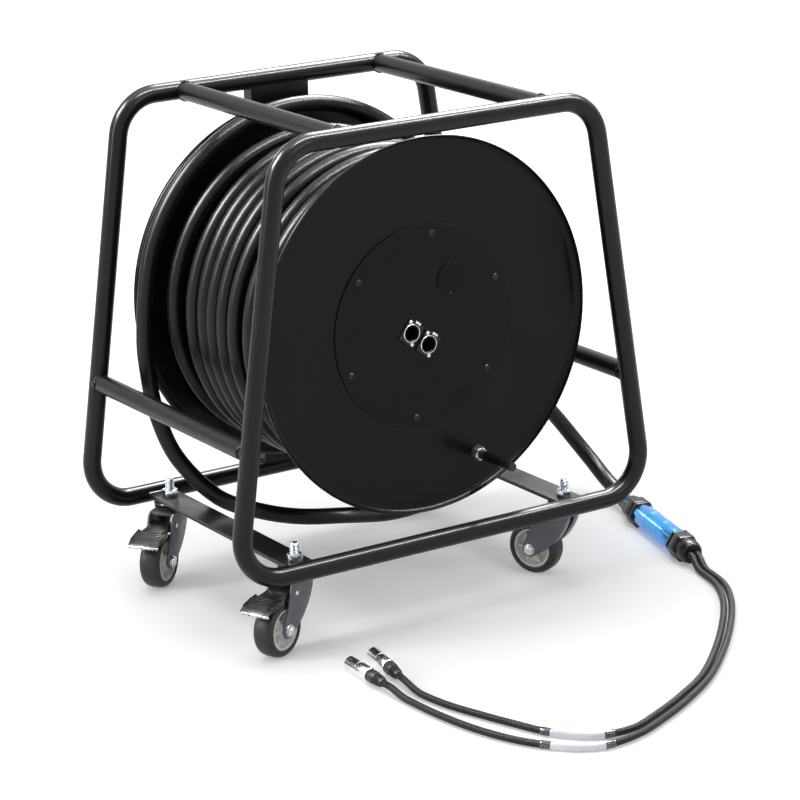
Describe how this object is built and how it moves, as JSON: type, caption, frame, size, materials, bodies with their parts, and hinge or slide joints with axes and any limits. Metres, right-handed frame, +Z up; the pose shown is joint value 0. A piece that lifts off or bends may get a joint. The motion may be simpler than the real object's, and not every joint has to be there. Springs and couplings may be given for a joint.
{
  "type": "network_snake_cable",
  "caption": "Network snake cable on a drum in a wheeled tubular trolley, with a blue splitter and two fan-out leads that end in metal network plugs.",
  "frame": {"origin": "on the floor, under the middle of the trolley", "axes": "+Z up, +X along the trolley to the right as seen facing the panel, -Y out of the drum's panel"},
  "size_m": [0.775, 0.9065, 0.6735],
  "materials": {
    "frame_paint": "gloss black powder coat",
    "caster_paint": "gloss black dip coat",
    "drum_paint": "satin black powder coat",
    "bright_steel": "turned bright steel",
    "zinc_plate": "zinc plated",
    "nickel_plate": "nickel plated zinc casting",
    "tyre": "smooth black polyurethane",
    "rim": "moulded grey plastic",
    "cable_jacket": "smooth black jacket",
    "black_plastic": "moulded black nylon",
    "badge": "bare black disc",
    "white_sleeve": "white heat shrink",
    "blue_anodised": "blue anodised, turned grooves"
  },
  "bodies": {
    "trolley": {"front_frame": "frame_paint", "rear_frame": "frame_paint", "top_tube_left": "frame_paint", "top_tube_right": "frame_paint", "side_tube_left": "frame_paint", "side_tube_right": "frame_paint", "caster_bar_left": "frame_paint", "caster_bar_right": "frame_paint", "drum_support": "frame_paint", "axle": "bright_steel", "axle_nut": "zinc_plate", "caster_stem_front_left": "zinc_plate", "caster_stem_front_right": "zinc_plate", "caster_stem_rear_left": "zinc_plate", "caster_stem_rear_right": "zinc_plate", "snake_cable": "cable_jacket", "rear_gland": "black_plastic", "splitter_body": "blue_anodised", "front_gland": "black_plastic", "lead_upper": "cable_jacket", "lead_lower": "cable_jacket", "sleeve_upper": "white_sleeve", "sleeve_lower": "white_sleeve", "boot_upper": "black_plastic", "boot_lower": "black_plastic", "plug_shell_upper": "nickel_plate", "plug_shell_lower": "nickel_plate"},
    "drum": {"drum_barrel": "drum_paint", "bearing_front": "bright_steel", "bearing_rear": "bright_steel", "front_flange": "drum_paint", "rear_flange": "drum_paint", "cable_core": "cable_jacket", "cable_winding": "cable_jacket", "panel_plate": "drum_paint", "badge_disc": "badge", "socket_left": "nickel_plate", "socket_right": "nickel_plate", "handle_stud": "zinc_plate"},
    "handle": {"handle_grip": "black_plastic"},
    "tab_left": {"release_tab_left": "nickel_plate"},
    "tab_right": {"release_tab_right": "nickel_plate"},
    "fork_front_left": {"caster_fork_front_left": "caster_paint", "wheel_bolt_front_left": "zinc_plate"},
    "fork_front_right": {"caster_fork_front_right": "caster_paint", "wheel_bolt_front_right": "zinc_plate"},
    "fork_rear_left": {"caster_fork_rear_left": "caster_paint", "wheel_bolt_rear_left": "zinc_plate"},
    "fork_rear_right": {"caster_fork_rear_right": "caster_paint", "wheel_bolt_rear_right": "zinc_plate"},
    "wheel_front_left": {"tyre_front_left": "tyre", "rim_front_left": "rim"},
    "wheel_front_right": {"tyre_front_right": "tyre", "rim_front_right": "rim"},
    "wheel_rear_left": {"tyre_rear_left": "tyre", "rim_rear_left": "rim"},
    "wheel_rear_right": {"tyre_rear_right": "tyre", "rim_rear_right": "rim"},
    "pedal_front_left": {"brake_pedal_front_left": "caster_paint"},
    "pedal_rear_left": {"brake_pedal_rear_left": "caster_paint"}
  },
  "joints": [
    {"name": "drum_spin", "type": "hinge", "parent": "trolley", "child": "drum", "pos_m": [0, 0, 0.386], "axis": [0, -1, 0], "continuous": true},
    {"name": "handle_spin", "type": "hinge", "parent": "drum", "child": "handle", "pos_m": [0.08102, -0.19, 0.19878], "axis": [0, -1, 0], "continuous": true},
    {"name": "tab_left_press", "type": "slide", "parent": "drum", "child": "tab_left", "axis": [0, 1, 0], "range_m": [0, 0.0015], "stiffness_N_per_m": 400},
    {"name": "tab_right_press", "type": "slide", "parent": "drum", "child": "tab_right", "axis": [0, 1, 0], "range_m": [0, 0.0015], "stiffness_N_per_m": 400},
    {"name": "swivel_front_left", "type": "hinge", "parent": "trolley", "child": "fork_front_left", "pos_m": [-0.2125, -0.163, 0.095], "axis": [0, 0, 1], "continuous": true},
    {"name": "swivel_front_right", "type": "hinge", "parent": "trolley", "child": "fork_front_right", "pos_m": [0.2125, -0.163, 0.095], "axis": [0, 0, 1], "continuous": true},
    {"name": "swivel_rear_left", "type": "hinge", "parent": "trolley", "child": "fork_rear_left", "pos_m": [-0.2125, 0.163, 0.095], "axis": [0, 0, 1], "continuous": true},
    {"name": "swivel_rear_right", "type": "hinge", "parent": "trolley", "child": "fork_rear_right", "pos_m": [0.2125, 0.163, 0.095], "axis": [0, 0, 1], "continuous": true},
    {"name": "wheel_spin_front_left", "type": "hinge", "parent": "fork_front_left", "child": "wheel_front_left", "pos_m": [-0.2527, -0.1809, 0.037], "axis": [0.4067, -0.9135, 0], "continuous": true},
    {"name": "wheel_spin_front_right", "type": "hinge", "parent": "fork_front_right", "child": "wheel_front_right", "pos_m": [0.1939, -0.12312, 0.037], "axis": [-0.9063, -0.4226, 0], "continuous": true},
    {"name": "wheel_spin_rear_left", "type": "hinge", "parent": "fork_rear_left", "child": "wheel_rear_left", "pos_m": [-0.2481, 0.13714, 0.037], "axis": [0.5878, -0.809, 0], "continuous": true},
    {"name": "wheel_spin_rear_right", "type": "hinge", "parent": "fork_rear_right", "child": "wheel_rear_right", "pos_m": [0.18439, 0.19685, 0.037], "axis": [-0.7694, -0.6388, 0], "continuous": true},
    {"name": "brake_front_left", "type": "hinge", "parent": "fork_front_left", "child": "pedal_front_left", "pos_m": [-0.23442, -0.17276, 0.0815], "axis": [0.4067, -0.9135, 0], "range_deg": [-16, 0]},
    {"name": "brake_rear_left", "type": "hinge", "parent": "fork_rear_left", "child": "pedal_rear_left", "pos_m": [-0.23192, 0.14889, 0.0815], "axis": [0.5878, -0.809, 0], "range_deg": [-16, 0]}
  ]
}
